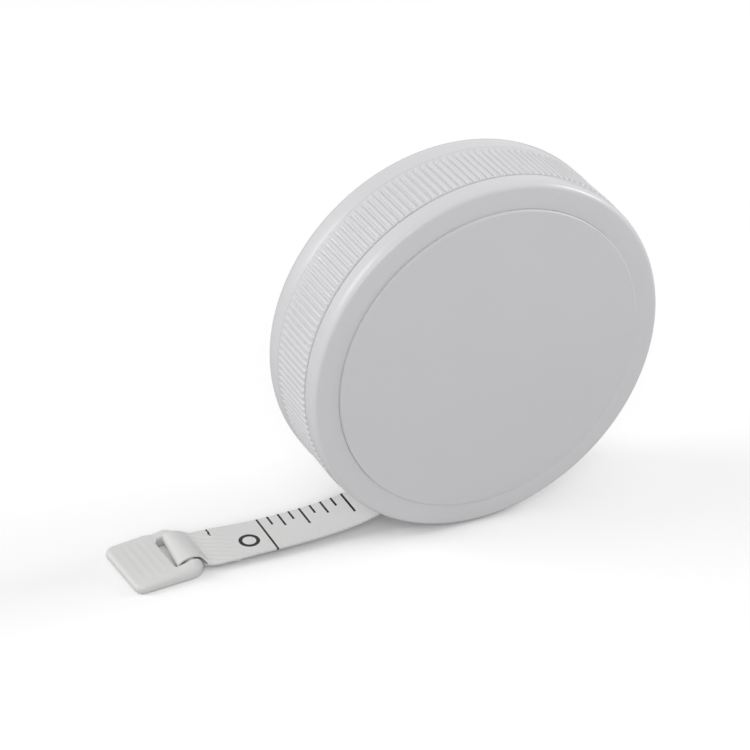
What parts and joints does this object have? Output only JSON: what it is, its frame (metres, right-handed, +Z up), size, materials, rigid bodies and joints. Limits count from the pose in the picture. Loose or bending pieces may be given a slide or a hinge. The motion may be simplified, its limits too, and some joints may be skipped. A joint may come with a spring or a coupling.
{
  "type": "retractable tape measure",
  "caption": "Round retractable sewing tape measure with a ribbed grip band, a full-face push button, a braked spring reel and a pull tab on the end of its tape.",
  "frame": {"origin": "centre of the flat round face on the back of the case, on the reel's axis", "axes": "+Y along the reel's axis, out of the back, so the button faces -Y; +Z up, as the case stands on its rim; the tape leaves towards -X"},
  "size_m": [0.0756, 0.0148, 0.052],
  "materials": {
    "case_plastic": "white moulded plastic, satin gloss",
    "button_plastic": "white moulded plastic, satin",
    "tape_vinyl": "white coated glass-fibre tape with a printed dark scale, satin",
    "reel_plastic": "natural acetal, matt",
    "spring_steel": "blank spring steel",
    "brake_rubber": "black rubber, matt"
  },
  "bodies": {
    "case": {"rear_cover": "case_plastic", "grip_band": "case_plastic", "front_cover": "case_plastic", "post_clip": "spring_steel", "button_spring": "spring_steel"},
    "button": {"push_button": "button_plastic", "brake_plate": "reel_plastic", "brake_ring": "brake_rubber"},
    "reel": {"drum": "reel_plastic", "drum_cap": "reel_plastic", "spring_lid": "reel_plastic", "mainspring": "spring_steel", "tape_coil": "tape_vinyl"},
    "tape": {"tape_strip": "tape_vinyl", "tape_end": "tape_vinyl", "end_loop": "tape_vinyl"},
    "tab": {"end_tab": "case_plastic"}
  },
  "joints": [
    {"name": "button_press", "type": "slide", "parent": "case", "child": "button", "axis": [0, 1, 0], "range_m": [0, 0.001], "stiffness_N_per_m": 600, "springref_m": -0.001, "deforming": ["button_spring"]},
    {"name": "reel_spin", "type": "hinge", "parent": "case", "child": "reel", "pos_m": [0, -0.0074, 0], "axis": [0, 1, 0], "range_deg": [-47.3, 4994.7], "deforming": ["mainspring"]},
    {"name": "tape_pull", "type": "slide", "parent": "case", "child": "tape", "axis": [-1, 0, 0], "range_m": [-0.01429, 1.50812], "deforming": ["tape_strip"]},
    {"name": "tab_pivot", "type": "hinge", "parent": "tape", "child": "tab", "pos_m": [-0.0405, -0.0064, -0.0248], "axis": [-0.0819, 0.9966, 0], "range_deg": [-60, 140]}
  ],
  "couplings": [
    {"joint": "tape_pull", "follows": "reel_spin", "m_per_rad": 0.0173}
  ]
}
